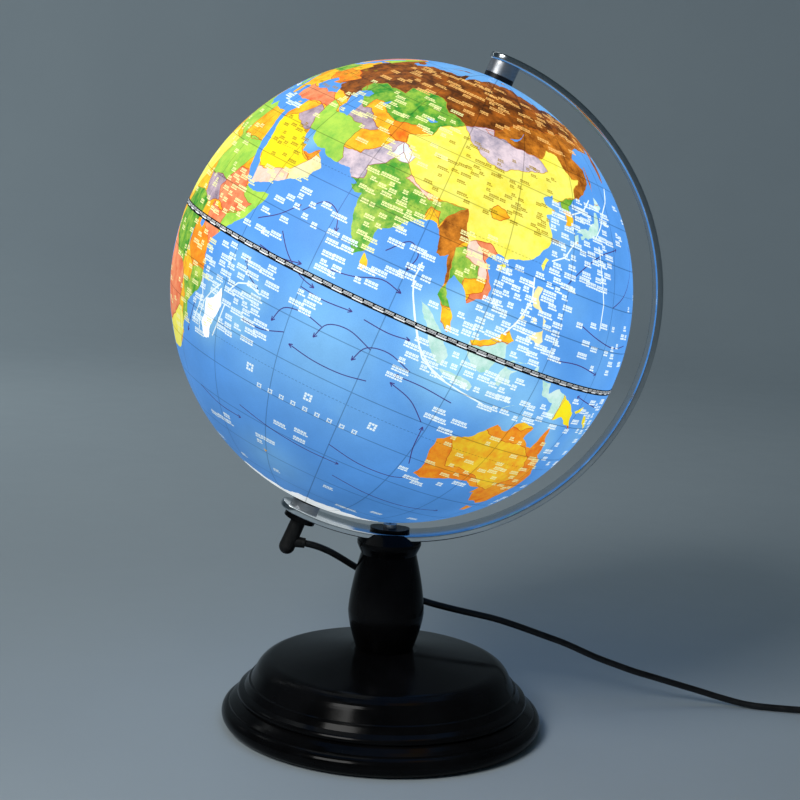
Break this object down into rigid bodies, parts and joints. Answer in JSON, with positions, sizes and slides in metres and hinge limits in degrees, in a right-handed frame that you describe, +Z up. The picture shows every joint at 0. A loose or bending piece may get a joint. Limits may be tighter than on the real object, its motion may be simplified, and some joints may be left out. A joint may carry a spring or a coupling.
{
  "type": "desktop globe on stand",
  "caption": "Illuminated terrestrial globe turning on its poles in a curved metal arm, on a turned column and round stepped base, with cord, rocker switch and plug.",
  "frame": {"origin": "middle of the underside of the base pad, on the table", "axes": "+Z up, the curved arm in the XZ plane and the globe's axis leaning towards +X, the front that the picture shows facing -Y"},
  "size_m": [0.445, 0.2522, 0.3752],
  "materials": {
    "globe_print": "gloss",
    "seam_tape": "satin",
    "white_plastic": "satin",
    "dark_plastic": "satin",
    "chrome_arm": "polished",
    "chrome": "turned",
    "steel": "brushed",
    "black_gloss": "high gloss",
    "black_rubber": "moulded",
    "white_board": "solder mask",
    "led_phosphor": "phosphor",
    "opal": "opal",
    "red_wire": "satin",
    "brass": "plain",
    "iron": "cast",
    "foam": "foam",
    "cord_black": "satin",
    "tie": "woven",
    "switch_black": "fine texture",
    "rocker_black": "gloss"
  },
  "bodies": {
    "stand": {"meridian_arm": "chrome_arm", "north_pin": "steel", "north_spacer": "chrome", "south_spacer": "chrome", "lamp_flange": "black_gloss", "cord_elbow": "black_rubber", "lamp_tube": "steel", "lamp_holder": "white_plastic", "led_board": "white_board", "led_chips": "led_phosphor", "led_cover": "opal", "lamp_leads": "red_wire", "clamp_plate": "black_gloss", "clamp_screw": "steel", "column": "black_gloss", "column_top_insert": "brass", "column_foot_insert": "brass", "column_bolt": "steel", "column_washer": "steel", "base_shell": "black_gloss", "base_weight": "iron", "base_cover": "dark_plastic", "cover_screws": "steel", "base_pad": "foam", "cord_run": "cord_black", "cord_coil": "cord_black", "cord_tie": "tie", "cord_tail": "cord_black", "cord_end": "cord_black", "switch_base": "switch_black", "switch_cover": "switch_black", "switch_contacts": "brass", "plug_grip": "black_rubber", "plug_shell": "steel", "plug_tongue": "white_plastic", "plug_contacts": "brass"},
    "globe": {"north_shell": "globe_print", "south_shell": "globe_print", "seam_ring": "white_plastic", "equator_tape": "seam_tape", "north_bush": "dark_plastic", "south_bush": "dark_plastic"},
    "rocker": {"switch_rocker": "rocker_black"}
  },
  "joints": [
    {"name": "globe_spin", "type": "hinge", "parent": "stand", "child": "globe", "pos_m": [0, 0, 0.24344], "axis": [0.3665, 0, 0.9304], "continuous": true},
    {"name": "switch_rock", "type": "hinge", "parent": "stand", "child": "rocker", "pos_m": [0.311, -0.028, 0.0094], "axis": [1, 0, 0], "range_deg": [0, 14]}
  ]
}
